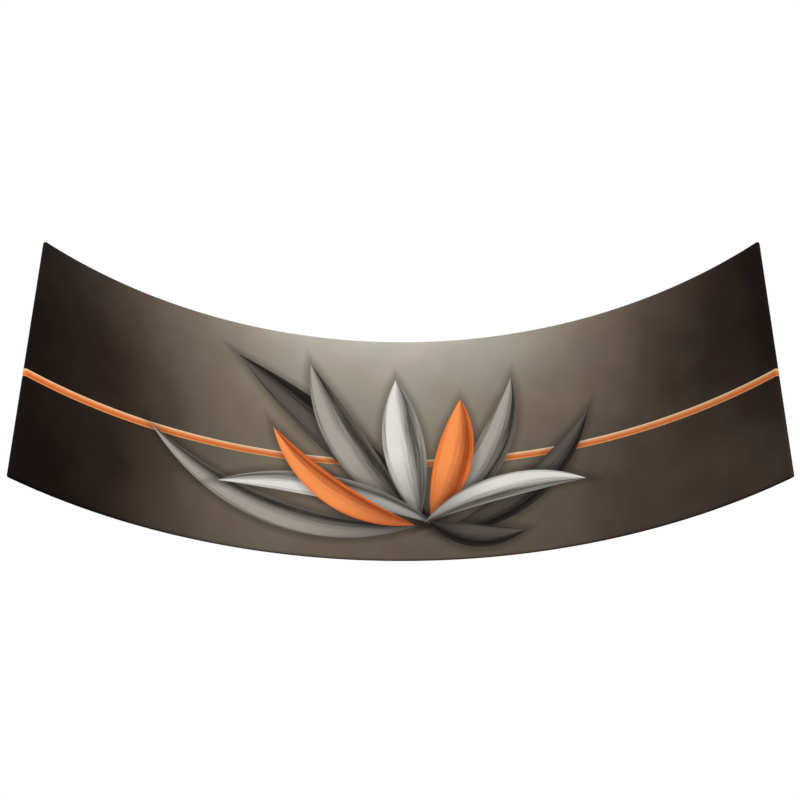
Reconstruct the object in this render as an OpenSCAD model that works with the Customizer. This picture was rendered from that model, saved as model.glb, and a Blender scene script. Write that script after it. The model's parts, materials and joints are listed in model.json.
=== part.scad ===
// Curved display wall: a round tube frame that comes apart into short lengths, inside a
// stretch fabric cover that zips shut along the lower rear edge.
// Millimetres. +Z is up, the printed hollow face looks towards -Y, and the origin is at the
// bottom centre of the wall's own box.

/* [Wall] */
// Overall height of the wall with its cover on
wall_height = 2300; // [1500:10:3000]
// Radius of the arc along the middle of the frame tube
frame_radius = 3830; // [3300:10:6000]
// Length of that arc between the middles of the two end uprights
frame_arc = 7050; // [5500:10:8000]
// Distance along the arc from the middle of the wall to the middle of each brace
brace_from_middle = 1175; // [900:5:1500]

/* [Frame tube] */
// Outside diameter of the rails and end uprights
tube_d = 38; // [36:0.5:44]
// Wall thickness of the rails and end uprights
tube_wall = 2; // [1.5:0.1:2.5]
// Outside diameter of the braces
brace_d = 32; // [26:0.5:34]
// Wall thickness of the braces
brace_wall = 1.5; // [1:0.1:2]
// Gap between two tube ends that meet
end_gap = 0.5; // [0.2:0.1:1]

/* [Spigots and elbows] */
// Radial gap between a spigot and the tube around it
spigot_gap = 0.15; // [0.1:0.05:0.3]
// Wall thickness of a spigot
spigot_wall = 2.5; // [2:0.1:3]
// Length of spigot inside each tube
spigot_reach = 60; // [55:1:90]
// Length of the straight collar of an elbow past the side of the other tube
elbow_collar = 5; // [3:0.5:12]

/* [Snap buttons] */
// Diameter of a button
button_d = 9.8; // [8:0.1:10.4]
// Radial gap between a button and its holes
button_gap = 0.2; // [0.15:0.05:0.4]
// Height that a button stands out of its tube
button_stand = 3.5; // [2.5:0.1:4.5]
// Radius of the crown on top of a button
button_crown_r = 8; // [6:0.5:12]
// Diameter of the flange that keeps a button in its spigot
button_flange_d = 13; // [11.5:0.1:13.5]
// Thickness of that flange
button_flange_t = 1.6; // [1:0.1:2]
// Distance from the end of the tube to the middle of its button
button_inset = 24; // [20:1:30]
// Thickness of the spring leaf under a button
leaf_t = 0.8; // [0.5:0.1:1]
// Width of the spring leaf
leaf_w = 8; // [6:0.5:9]
// Length of the spring leaf from its button to its bend
leaf_reach = 28; // [22:1:30]
// Outside radius of the bend of the spring leaf
leaf_bend_r = 5; // [3:0.5:6]

/* [Rivets] */
// Diameter of a blind rivet's shank
rivet_d = 4.8; // [4:0.1:6]
// Diameter of its domed head
rivet_head_d = 9; // [7:0.5:11]
// Height of its head
rivet_head_h = 1.2; // [0.8:0.1:2]
// Length of its tail inside the spigot
rivet_tail = 2; // [1:0.5:3]
// Distance from the end of the tube to its first rivet
rivet_inset = 16; // [12:1:20]
// Distance between the two rivets of a joint
rivet_pitch = 26; // [20:1:30]

/* [Cover] */
// Thickness of the cover fabric
fabric_t = 1; // [0.8:0.1:1.4]
// Ease between the frame tubes and the inside of the cover
cover_ease = 0.3; // [0.2:0.1:0.6]
// Width of the printed panel that turns onto the rear of the wall
return_w = 40; // [30:1:60]

/* [Zip] */
// Height of the middle of the zip above the floor
zip_z = 62; // [58:1:90]
// Width of both zip tapes together
zip_w = 34; // [30:1:40]
// Distance that each tape laps over the fabric beside it
zip_lap = 5; // [3:0.5:6]
// Thickness of a zip tape
tape_t = 1; // [0.6:0.1:1.2]
// Height of one row of teeth
teeth_w = 2.5; // [2:0.1:3]
// Thickness of a row of teeth
teeth_t = 2; // [1.5:0.1:3]
// Gap between a tape and the row of teeth sewn onto it
teeth_lift = 0.1; // [0.05:0.05:0.3]
// Gap between the two rows of teeth, where the post of the slider runs
teeth_split = 1; // [0.9:0.1:1.4]
// Length of the stop at each end of the teeth
stop_l = 3; // [2:0.5:5]
// Distance from the end of the tape to the stop
stop_inset = 5; // [3:0.5:10]
// Length of the slider
slider_l = 16; // [13:0.5:22]
// Width of the slider at its shoulders
slider_w = 13; // [11.5:0.5:15]
// Thickness of each plate of the slider
slider_plate_t = 1.6; // [1:0.1:2]
// Gap between the slider and what it runs on
slider_gap = 0.4; // [0.3:0.1:0.6]
// Height of the opening under the slider's bridge
bridge_h = 2.6; // [2.4:0.1:3.5]
// Length of the pull tab
pull_l = 36; // [26:1:50]
// Width of the pull tab
pull_w = 9; // [8:0.5:12]
// Thickness of the pull tab
pull_t = 1.6; // [1:0.1:1.8]
// Diameter of the hole at the end of the pull tab
pull_hole_d = 4.5; // [2:0.5:5]

/* [Lifting points] */
// Distance along the arc from an end upright to the lifting point beside it
lift_inset = 150; // [130:5:300]
// Width of a bracket along the rail
bracket_w = 72; // [68:1:90]
// Height of a bracket
bracket_h = 24; // [18:1:26]
// Thickness of a bracket's plate
bracket_t = 4; // [3.5:0.5:6]
// Radius of the corners of a bracket's plate
bracket_corner_r = 5; // [2:0.5:8]
// Thickness of each ear of a bracket
ear_t = 5; // [4:0.5:7]
// Radius of an ear around its pin
ear_r = 7; // [6.5:0.5:8]
// Distance from the bracket's plate to the middle of its pin
pin_stand = 7.5; // [7:0.5:10]
// Diameter of the pin
pin_d = 6; // [5:0.5:8]
// Radial gap between the pin and the lifting lug
pin_gap = 0.05; // [0.02:0.01:0.1]
// Width of a lifting lug
lug_w = 28; // [24:0.5:30]
// Thickness of a lifting lug
lug_t = 5; // [4:0.5:6]
// Radius of the lug's knuckle around its pin
knuckle_r = 6; // [5:0.5:6.5]
// Distance from the pin to the shackle hole of the lug
lug_l = 44; // [36:1:60]
// Diameter of the shackle hole
shackle_hole_d = 13; // [9:0.5:16]
// Gap between a lug and the ears beside it
ear_gap = 0.4; // [0.2:0.1:1]
// Diameter of a bracket screw
screw_d = 6; // [5:0.5:7]
// Diameter of the countersunk head of a bracket screw
screw_head_d = 12; // [10:0.5:13]
// Length of a bracket screw
screw_l = 17; // [14:0.5:20]
// Width across the flats of the hexagon socket in a screw's head
socket_w = 4; // [3:0.5:4.5]
// Depth of that socket
socket_depth = 2.4; // [1.5:0.1:4]
// Distance of a bracket screw from the middle of its bracket
screw_x = 28; // [26:0.5:32]
// Outside diameter of the threaded insert in the rail
insert_d = 8.4; // [8:0.1:9.6]
// Length of the threaded insert
insert_l = 13; // [10:0.5:15]
// Outside diameter of the eyelet in the cover around a screw
eyelet_d = 11; // [10.5:0.1:13]
// Radial gap between a screw and its eyelet
eyelet_gap = 0.4; // [0.2:0.1:0.8]

/* [Hidden] */
tube_fn = 48;
arc_fn = 360;
rail_lengths = 4;

tube_r = tube_d / 2;
tube_bore_r = tube_r - tube_wall;
spigot_r = tube_bore_r - spigot_gap;
spigot_bore_r = spigot_r - spigot_wall;
brace_r = brace_d / 2;
brace_bore_r = brace_r - brace_wall;
brace_spigot_r = brace_bore_r - spigot_gap;

lining_r = tube_r + cover_ease;
cover_r = lining_r + fabric_t;
rail_z = [cover_r, wall_height - cover_r];
mid_z = wall_height / 2;
elbow_leg = tube_r + elbow_collar;

half_angle = arc_deg(frame_arc / 2);
brace_angle = arc_deg(brace_from_middle);
lift_angle = half_angle - arc_deg(lift_inset);
window_angle = half_angle - arc_deg(return_w);
window_z = [zip_z - zip_w / 2 + zip_lap, rail_z[1] - return_w];
panel_z = zip_z + zip_w / 2 - zip_lap;

// Radial places of the zip's layers, from the middle of the tube outwards
tape_y = cover_r;
teeth_y = tape_y + tape_t + teeth_lift;
slider_y = teeth_y + teeth_t + slider_gap;
slider_top_y = slider_y + slider_plate_t;
pull_y = slider_top_y + bridge_h / 2;
slider_back_y = tape_y - slider_gap;
teeth_end_angle = window_angle - arc_deg(stop_inset + stop_l);
slider_angle = teeth_end_angle - arc_deg(slider_l / 2 + slider_gap);
pull_pin_r = bridge_h / 2 - slider_gap;

bracket_y = cover_r;
pin_y = bracket_y + bracket_t + pin_stand;

// The arc's centre stands in front of the wall, so that the origin is in the middle of the box
centre_y = -(frame_radius * (1 + cos(half_angle)) + teeth_y + teeth_t - cover_r) / 2;

function arc_deg(length) = length / frame_radius * 180 / PI;
function around(middle, reach) = [middle - reach, middle + reach];
function outer_side(angle) = angle < -1 ? -1 : 1;
function inward(level) = level == 0 ? 1 : -1;

junctions = [for (i = [1:rail_lengths - 1]) half_angle * (2 * i / rail_lengths - 1)];

// A site on a tube: angle along the arc, height, direction of the spring leaf, and the
// direction out of the tube into the wall's hollow, as local X, Y, Z
rail_snaps = [for (level = [0, 1]) for (angle = junctions)
    [angle + outer_side(angle) * arc_deg(button_inset), rail_z[level],
     [-outer_side(angle), 0, 0], [0, 0, inward(level)]]];
corner_snaps = [for (level = [0, 1]) for (side = [-1, 1])
    [side * half_angle, rail_z[level] + inward(level) * (elbow_leg + button_inset),
     [0, 0, -inward(level)], [-side, 0, 0]]];
upright_snaps = [for (side = [-1, 1])
    [side * half_angle, mid_z + button_inset, [0, 0, -1], [-side, 0, 0]]];
snaps = concat(rail_snaps, corner_snaps, upright_snaps);

rivet_places = [rivet_inset, rivet_inset + rivet_pitch];
rail_rivets = [for (level = [0, 1]) for (angle = junctions) for (place = rivet_places)
    [angle - outer_side(angle) * arc_deg(place), rail_z[level], [1, 0, 0],
     [0, 0, inward(level)]]];
elbow_rivets = [for (level = [0, 1]) for (side = [-1, 1]) for (place = rivet_places)
    [side * (half_angle - arc_deg(elbow_leg + place)), rail_z[level], [1, 0, 0],
     [0, 0, inward(level)]]];
upright_rivets = [for (side = [-1, 1]) for (place = rivet_places)
    [side * half_angle, mid_z - place, [0, 0, 1], [-side, 0, 0]]];
brace_rivets = [for (side = [-1, 1]) for (place = rivet_places)
    [side * brace_angle, mid_z - place, [0, 0, 1], [-side, 0, 0]]];
tube_rivets = concat(rail_rivets, elbow_rivets, upright_rivets);

function within(sites, angles, heights) = [for (s = sites)
    if (s[0] > angles[0] && s[0] < angles[1] && s[1] > heights[0] && s[1] < heights[1]) s];

lift_angles = [-lift_angle, -brace_angle, brace_angle, lift_angle];

side_names = ["left", "right"];
level_names = ["bottom", "top"];
half_names = ["lower", "upper"];
snap_names = ["bottom_rail_left", "bottom_rail_middle", "bottom_rail_right",
    "top_rail_left", "top_rail_middle", "top_rail_right",
    "bottom_left_corner", "bottom_right_corner", "top_left_corner", "top_right_corner",
    "left_upright", "right_upright"];
lug_names = ["left_end", "left_middle", "right_middle", "right_end"];

// ---- Placing ----

// Puts children on the arc: X along it, Y out to the rear, Z up, zero in the middle of the tube
module on_arc(angle, z = 0) {
    translate([0, centre_y, z])
        rotate([0, 0, -angle])
            translate([0, frame_radius, 0])
                children();
}

// Sweeps a profile along the arc: its x is the distance to the rear of the tube's middle
module along_arc(angles) {
    translate([0, centre_y, 0])
        rotate([0, 0, 90 - angles[1]])
            rotate_extrude(angle = angles[1] - angles[0], $fn = arc_fn)
                translate([frame_radius, 0])
                    children();
}

// Puts children on a site: X along the spring leaf, Z out of the tube
module on_site(site) {
    leaf = site[2];
    out = site[3];
    side = cross(out, leaf);
    on_arc(site[0], site[1])
        multmatrix([[leaf.x, side.x, out.x, 0],
                    [leaf.y, side.y, out.y, 0],
                    [leaf.z, side.z, out.z, 0]])
            children();
}

module disc(r) {
    circle(r, $fn = tube_fn);
}

module ring(outer, inner) {
    difference() {
        disc(outer);
        disc(inner);
    }
}

// A straight round bar or tube between two heights
module upright_bar(heights, outer) {
    translate([0, 0, heights[0]])
        cylinder(r = outer, h = heights[1] - heights[0], $fn = tube_fn);
}

// A bar from the middle of a tube out past its wall, to drill one hole
module drill(sites, d) {
    for (site = sites)
        on_site(site)
            cylinder(d = d, h = tube_d, $fn = tube_fn);
}

// The bar of a screw or insert that goes in from the rear of the top rail
module rear_drill(d, from, to) {
    for (angle = lift_angles)
        for (side = [-1, 1])
            on_arc(angle, rail_z[1])
                rear_bar(side * screw_x, d / 2, d / 2, from, to);
}

module rear_bar(x, r_from, r_to, from, to) {
    translate([x, from, 0])
        rotate([-90, 0, 0])
            cylinder(r1 = r_from, r2 = r_to, h = to - from, $fn = tube_fn);
}

// ---- Frame ----

// One bent length of rail, drilled for its buttons and rivets
module rail(level, i) {
    ends = [for (k = [i - 1, i])
        k == 0 ? -half_angle + arc_deg(elbow_leg + end_gap)
        : k == rail_lengths ? half_angle - arc_deg(elbow_leg + end_gap)
        : junctions[k - 1] + (k == i ? -1 : 1) * arc_deg(end_gap / 2)];
    here = around(rail_z[level], 1);
    color("silver")
        difference() {
            along_arc(ends)
                translate([0, rail_z[level]])
                    ring(tube_r, tube_bore_r);
            drill(within(snaps, ends, here), button_d + 2 * button_gap);
            drill(within(tube_rivets, ends, here), rivet_d);
            if (level == 1)
                for (angle = lift_angles)
                    if (angle > ends[0] && angle < ends[1])
                        for (side = [-1, 1])
                            on_arc(angle, rail_z[1])
                                rear_bar(side * screw_x, insert_d / 2, insert_d / 2,
                                         spigot_bore_r, tube_d);
        }
}

// Heights of the lower or upper half of a tube between two rails
function half_span(start, half) = half == 0
    ? [rail_z[0] + start + end_gap, mid_z - end_gap / 2]
    : [mid_z + end_gap / 2, rail_z[1] - start - end_gap];

module end_upright(side, half) {
    span = half_span(elbow_leg, half);
    angles = around(side * half_angle, 1);
    color("silver")
        difference() {
            on_arc(side * half_angle)
                difference() {
                    upright_bar(span, tube_r);
                    upright_bar(span, tube_bore_r);
                }
            drill(within(snaps, angles, span), button_d + 2 * button_gap);
            drill(within(tube_rivets, angles, span), rivet_d);
        }
}

module brace(side, half) {
    span = half_span(tube_r, half);
    angles = around(side * brace_angle, 1);
    color("silver")
        difference() {
            on_arc(side * brace_angle)
                difference() {
                    upright_bar(span, brace_r);
                    upright_bar(span, brace_bore_r);
                }
            drill(within(brace_rivets, angles, span), rivet_d);
        }
}

// Short spigots welded to the rails, over which the braces push
module brace_stubs() {
    color("gainsboro")
        for (side = [-1, 1])
            for (level = [0, 1])
                difference() {
                    on_arc(side * brace_angle, rail_z[level])
                        mirror([0, 0, level])
                            difference() {
                                upright_bar([0, tube_r + spigot_reach], brace_spigot_r);
                                upright_bar([0, tube_r + spigot_reach],
                                            brace_spigot_r - spigot_wall);
                            }
                    along_arc(around(side * brace_angle, 1))
                        translate([0, rail_z[level]])
                            disc(tube_r);
                }
}

// Tight cast corner at the right, with a curved spigot for the rail and a straight one for the
// upright
module elbow(level) {
    leg_end = half_angle - arc_deg(elbow_leg);
    reach_end = leg_end - arc_deg(spigot_reach);
    spring_end = button_inset - leaf_reach - 1.5 * leaf_bend_r;
    heights = around(rail_z[level], mid_z / 2);
    color("darkgray")
        difference() {
            union() {
                on_arc(half_angle, rail_z[level]) {
                    rotate([180 * level, 0, 0]) {
                        upright_bar([0, elbow_leg], tube_r);
                        upright_bar([elbow_leg, elbow_leg + spigot_reach], spigot_r);
                    }
                    rotate([0, -90, 0])
                        cylinder(r = tube_r, h = elbow_leg, $fn = tube_fn);
                    corner_ball(level);
                }
                along_arc([reach_end, leg_end])
                    translate([0, rail_z[level]])
                        disc(spigot_r);
            }
            on_arc(half_angle, rail_z[level])
                rotate([180 * level, 0, 0])
                    upright_bar([elbow_leg + spring_end, elbow_leg + spigot_reach + 1],
                                spigot_bore_r);
            along_arc([reach_end - 1, leg_end])
                translate([0, rail_z[level]])
                    disc(spigot_bore_r);
            drill(within(corner_snaps, [0, 90], heights), button_d + 2 * button_gap);
            drill(within(elbow_rivets, [0, 90], heights), rivet_d);
        }
}

// The quarter of a ball that closes the outside of an elbow
module corner_ball(level) {
    rotate([90, 0, 0])
        rotate([0, 0, 90 * (level - 1)])
            rotate_extrude(angle = 90, $fn = tube_fn)
                intersection() {
                    disc(tube_r);
                    translate([0, -tube_r])
                        square([tube_r, tube_d]);
                }
}

// Turns a right hand piece of one level half a turn, into the left hand one of the other level
module left_hand(on) {
    if (on)
        translate([0, 0, wall_height])
            rotate([0, 180, 0])
                children();
    else
        children();
}

// Curved sleeves, each riveted in one rail length and buttoned in the next
module rail_spigots(level) {
    color("gainsboro")
        for (angle = junctions)
            difference() {
                along_arc(around(angle, arc_deg(spigot_reach)))
                    translate([0, rail_z[level]])
                        ring(spigot_r, spigot_bore_r);
                drill(within(rail_snaps, around(angle, 2), around(rail_z[level], 1)),
                      button_d + 2 * button_gap);
                drill(within(rail_rivets, around(angle, 2), around(rail_z[level], 1)), rivet_d);
            }
}

module straight_spigots(angle, outer, snap_sites, rivet_sites) {
    span = around(mid_z, spigot_reach);
    color("gainsboro")
        for (side = [-1, 1])
            difference() {
                on_arc(side * angle)
                    difference() {
                        upright_bar(span, outer);
                        upright_bar(span, outer - spigot_wall);
                    }
                drill(within(snap_sites, around(side * angle, 1), span),
                      button_d + 2 * button_gap);
                drill(within(rivet_sites, around(side * angle, 1), span), rivet_d);
            }
}

module blind_rivets() {
    color("lightgray") {
        for (site = tube_rivets)
            on_site(site)
                blind_rivet(spigot_bore_r, tube_r);
        for (site = brace_rivets)
            on_site(site)
                blind_rivet(brace_spigot_r - spigot_wall, brace_r);
    }
}

// A rivet through two walls: tail inside, flat round head outside
module blind_rivet(inside_r, outside_r) {
    translate([0, 0, inside_r - rivet_tail])
        cylinder(d = rivet_d, h = outside_r - inside_r + rivet_tail, $fn = tube_fn);
    translate([0, 0, outside_r])
        cylinder(d1 = rivet_head_d, d2 = rivet_d, h = rivet_head_h, $fn = tube_fn);
}

// ---- Snap buttons ----

button_top = tube_r + button_stand;
button_foot = sqrt(pow(spigot_bore_r, 2) - pow(button_flange_d / 2, 2)) - button_gap
    - button_flange_t;

module snap_button(i) {
    color("goldenrod")
        on_site(snaps[i]) {
            translate([0, 0, button_foot])
                cylinder(d = button_flange_d, h = button_flange_t, $fn = tube_fn);
            intersection() {
                translate([0, 0, button_foot])
                    cylinder(d = button_d, h = button_top - button_foot, $fn = tube_fn);
                translate([0, 0, button_top - button_crown_r])
                    union() {
                        sphere(r = button_crown_r, $fn = tube_fn);
                        mirror([0, 0, 1])
                            cylinder(r = button_crown_r, h = button_top, $fn = tube_fn);
                    }
            }
        }
}

// A bent leaf in each buttoned spigot: one leg under the button, one along the far wall
module snap_springs() {
    far_z = -sqrt(pow(spigot_bore_r, 2) - pow(leaf_w / 2, 2)) + leaf_t / 2;
    tip_x = -button_flange_d / 2;
    color("dimgray")
        for (site = snaps)
            on_site(site)
                rotate([90, 0, 0])
                    linear_extrude(leaf_w, center = true) {
                        polygon([[tip_x, button_foot - leaf_t], [tip_x, button_foot],
                                 [-tip_x, button_foot],
                                 [leaf_reach, leaf_bend_r],
                                 [leaf_reach, leaf_bend_r - leaf_t],
                                 [-tip_x - leaf_t, button_foot - leaf_t]]);
                        polygon([[tip_x, far_z], [tip_x, far_z + leaf_t],
                                 [leaf_reach, leaf_t - leaf_bend_r],
                                 [leaf_reach, -leaf_bend_r]]);
                        translate([leaf_reach, 0])
                            difference() {
                                ring(leaf_bend_r, leaf_bend_r - leaf_t);
                                translate([-2 * leaf_bend_r, -leaf_bend_r])
                                    square(2 * leaf_bend_r);
                            }
                    }
}

// ---- Lifting points ----

module threaded_inserts() {
    color("lightsteelblue")
        difference() {
            rear_drill(insert_d, tube_r - insert_l, tube_r);
            rear_drill(screw_d, tube_r - insert_l - 1, tube_r + 1);
        }
}

module cover_eyelets() {
    color("silver")
        difference() {
            rear_drill(eyelet_d, lining_r, cover_r);
            rear_drill(screw_d + 2 * eyelet_gap, tube_r, cover_r + 1);
        }
}

module lift_screws() {
    tip_y = bracket_y + bracket_t - screw_l;
    color("dimgray")
        for (angle = lift_angles)
            for (side = [-1, 1])
                on_arc(angle, rail_z[1])
                    difference() {
                        union() {
                            rear_bar(side * screw_x, screw_d / 2, screw_d / 2, tip_y,
                                     bracket_y + bracket_t);
                            screw_head(side);
                        }
                        translate([side * screw_x, bracket_y + bracket_t - socket_depth, 0])
                            rotate([-90, 0, 0])
                                cylinder(d = socket_w / cos(30), h = 2 * socket_depth, $fn = 6);
                    }
}

module screw_head(side) {
    head_h = (screw_head_d - screw_d) / 2;
    rear_bar(side * screw_x, screw_d / 2, screw_head_d / 2, bracket_y + bracket_t - head_h,
             bracket_y + bracket_t);
}

// A plate over the cover with two ears for the pin
module lift_brackets() {
    ear_x = lug_w / 2 + ear_gap;
    color("slategray")
        for (angle = lift_angles)
            on_arc(angle, rail_z[1])
                difference() {
                    union() {
                        bracket_plate();
                        for (side = [-1, 1])
                            translate([side * (ear_x + ear_t / 2), 0, 0]) {
                                translate([-ear_t / 2, bracket_y + bracket_t / 2, -ear_r])
                                    cube([ear_t, pin_y - bracket_y - bracket_t / 2, 2 * ear_r]);
                                translate([-ear_t / 2, pin_y, 0])
                                    rotate([0, 90, 0])
                                        cylinder(r = ear_r, h = ear_t, $fn = tube_fn);
                            }
                    }
                    pin_bar(pin_d / 2, bracket_w);
                    for (side = [-1, 1]) {
                        rear_bar(side * screw_x, screw_d / 2, screw_d / 2, tube_r, pin_y);
                        screw_head(side);
                    }
                }
}

module bracket_plate() {
    x = bracket_w / 2 - bracket_corner_r;
    z = bracket_h / 2 - bracket_corner_r;
    translate([-x, bracket_y, -bracket_h / 2])
        cube([2 * x, bracket_t, bracket_h]);
    translate([-bracket_w / 2, bracket_y, -z])
        cube([bracket_w, bracket_t, 2 * z]);
    for (side = [-1, 1])
        for (up = [-1, 1])
            translate([0, 0, up * z])
                rear_bar(side * x, bracket_corner_r, bracket_corner_r, bracket_y,
                         bracket_y + bracket_t);
}

// A bar along a bracket's pin
module pin_bar(r, l) {
    translate([-l / 2, pin_y, 0])
        rotate([0, 90, 0])
            cylinder(r = r, h = l, $fn = tube_fn);
}

module lift_pins() {
    color("lightgray")
        for (angle = lift_angles)
            on_arc(angle, rail_z[1])
                pin_bar(pin_d / 2, lug_w + 2 * (ear_gap + ear_t));
}

// A lug that folds down flat behind the wall and up over its top edge
module lift_lug(i) {
    color("slategray")
        on_arc(lift_angles[i], rail_z[1])
            difference() {
                union() {
                    pin_bar(knuckle_r, lug_w);
                    translate([-lug_w / 2, pin_y - lug_t / 2, -lug_l])
                        cube([lug_w, lug_t, lug_l]);
                    translate([0, 0, -lug_l])
                        rear_bar(0, lug_w / 2, lug_w / 2, pin_y - lug_t / 2, pin_y + lug_t / 2);
                }
                pin_bar(pin_d / 2 + pin_gap, lug_w + 2);
                translate([0, 0, -lug_l])
                    rear_bar(0, shackle_hole_d / 2, shackle_hole_d / 2, bracket_y,
                             pin_y + lug_t);
            }
}

// ---- Cover ----

// The cover's section: two upright sheets with a half round at the top and bottom
module cover_outline(r) {
    translate([-r, rail_z[0]])
        square([2 * r, rail_z[1] - rail_z[0]]);
    for (z = rail_z)
        translate([0, z])
            disc(r);
}

module cover_section() {
    difference() {
        cover_outline(cover_r);
        cover_outline(lining_r);
    }
}

// One half of the closed cover, from past the middle round the end upright at its right
module cover_half() {
    translate([0, centre_y, 0])
        rotate([0, 0, 90 - half_angle]) {
            rotate_extrude(angle = half_angle + arc_deg(end_gap), $fn = arc_fn)
                translate([frame_radius, 0])
                    cover_section();
            translate([frame_radius, 0, 0])
                rotate([0, 0, 180])
                    rotate_extrude(angle = 180, $fn = tube_fn)
                        intersection() {
                            cover_section();
                            square([cover_r, wall_height]);
                        }
        }
}

// The printed panel: the hollow face, the turn over every edge and a return on the rear
module front_panel() {
    color("dimgray")
        difference() {
            union() {
                cover_half();
                mirror([1, 0, 0])
                    cover_half();
            }
            along_arc([-window_angle, window_angle])
                translate([lining_r - fabric_t, window_z[0]])
                    square([3 * fabric_t, window_z[1] - window_z[0]]);
            rear_drill(eyelet_d, tube_bore_r, tube_d);
        }
}

// The plain panel sewn into the rear, above the zip
module back_panel() {
    color("gray")
        along_arc([-window_angle, window_angle])
            translate([lining_r, panel_z])
                square([fabric_t, window_z[1] - panel_z]);
}

// ---- Zip ----

module zip_tape(up) {
    color("black")
        along_arc([-window_angle, window_angle])
            mirrored_at_zip(up)
                translate([tape_y, teeth_split / 2])
                    square([tape_t, (zip_w - teeth_split) / 2]);
}

module zip_teeth(up) {
    color("black")
        along_arc([-teeth_end_angle, teeth_end_angle])
            mirrored_at_zip(up)
                translate([teeth_y, teeth_split / 2])
                    square([teeth_t, teeth_w]);
}

module mirrored_at_zip(up) {
    translate([0, zip_z])
        mirror([0, up > 0 ? 0 : 1])
            children();
}

module zip_stops() {
    from = teeth_end_angle + arc_deg(slider_gap);
    to = from + arc_deg(stop_l);
    stop_w = teeth_split + 2 * teeth_w;
    color("silver")
        for (angles = [[from, to], [-to, -from]])
            along_arc(angles)
                translate([tape_y + tape_t, zip_z - stop_w / 2])
                    square([teeth_t + teeth_lift, stop_w]);
}

// One plate of the slider, wide at its shoulders and narrow behind
module slider_plate(outer_y) {
    neck = teeth_split / 2 + teeth_w + 2 * slider_gap;
    translate([0, outer_y, 0])
        rotate([90, 0, 0])
            linear_extrude(slider_plate_t)
                polygon([[-slider_l / 2, -neck], [slider_l / 8, -slider_w / 2],
                         [slider_l / 2, -slider_w / 2], [slider_l / 2, slider_w / 2],
                         [slider_l / 8, slider_w / 2], [-slider_l / 2, neck]]);
}

// Two plates with a thin post between the rows of teeth, side flanges, and a bridge on top
module zip_slider() {
    flange_z = teeth_split / 2 + teeth_w + slider_gap;
    post_t = teeth_split / 2;
    bridge_x = slider_l / 4;
    bridge_t = slider_plate_t;
    color("silver")
        on_arc(slider_angle, zip_z) {
            slider_plate(slider_top_y);
            slider_plate(slider_back_y);
            translate([slider_l / 4, slider_back_y - slider_plate_t / 2, -post_t / 2])
                cube([slider_l / 8, slider_y - slider_back_y + slider_plate_t, post_t]);
            for (side = [-1, 1])
                translate([-slider_l / 2, teeth_y + slider_gap,
                           side * (flange_z + slider_gap / 2) - slider_gap / 2])
                    cube([slider_l, slider_y - teeth_y - slider_gap + slider_plate_t / 2,
                          slider_gap]);
            for (side = [-1, 1])
                translate([side * bridge_x - bridge_t / 2, slider_y + slider_plate_t / 2,
                           -bridge_t / 2])
                    cube([bridge_t, bridge_h + slider_plate_t, bridge_t]);
            translate([-bridge_x - bridge_t / 2, slider_top_y + bridge_h, -bridge_t / 2])
                cube([2 * bridge_x + bridge_t, bridge_t, bridge_t]);
        }
}

// The tab of the pull, with a round end and a hole in it
module pull_tab(from) {
    end_x = pull_w / 2 - pull_l;
    difference() {
        union() {
            translate([end_x, -pull_pin_r, -pull_w / 2])
                cube([-from - end_x, pull_t, pull_w]);
            rear_bar(end_x, pull_w / 2, pull_w / 2, -pull_pin_r, pull_t - pull_pin_r);
        }
        rear_bar(end_x, pull_hole_d / 2, pull_hole_d / 2, -pull_t, 2 * pull_t);
    }
}

// A flat tab on two arms, with the pin between them held under the slider's bridge
module zip_pull() {
    arm_z = slider_plate_t / 2 + slider_gap;
    arm_t = pull_w / 2 - arm_z;
    arm_l = slider_l / 2 + slider_gap;
    color("silver")
        on_arc(slider_angle, zip_z)
            translate([0, pull_y, 0]) {
                translate([0, 0, -pull_w / 2])
                    cylinder(r = pull_pin_r, h = pull_w, $fn = tube_fn);
                for (side = [-1, 1])
                    translate([-arm_l - 1, -pull_pin_r,
                               side * (arm_z + arm_t / 2) - arm_t / 2])
                        cube([arm_l + 1 + pull_pin_r, 2 * pull_pin_r, arm_t]);
                pull_tab(arm_l);
            }
}

for (level = [0, 1])
    for (i = [1:rail_lengths])
        rail(level, i);
for (s = [0, 1])
    for (half = [0, 1]) {
        end_upright(2 * s - 1, half);
        brace(2 * s - 1, half);
    }
for (level = [0, 1])
    for (s = [0, 1])
        left_hand(s == 0)
                elbow(s == 0 ? 1 - level : level);
brace_stubs();
rail_spigots(0);  // bottom_rail_spigots
rail_spigots(1);  // top_rail_spigots
straight_spigots(half_angle, spigot_r, upright_snaps, upright_rivets);  // upright_spigots
straight_spigots(brace_angle, brace_spigot_r, [], brace_rivets);  // brace_spigots
blind_rivets();
snap_springs();
for (i = [0:len(snap_names) - 1])
    snap_button(i);
threaded_inserts();
cover_eyelets();
lift_brackets();
lift_pins();
lift_screws();
for (i = [0:len(lug_names) - 1])
    lift_lug(i);
front_panel();
back_panel();
zip_tape(-1);  // zip_tape_lower
zip_tape(1);  // zip_tape_upper
zip_teeth(-1);  // zip_teeth_lower
zip_teeth(1);  // zip_teeth_upper
zip_stops();
zip_slider();
zip_pull();
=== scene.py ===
import json
import math

import bmesh
import bpy
import numpy as np
from mathutils import Matrix, Vector


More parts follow.
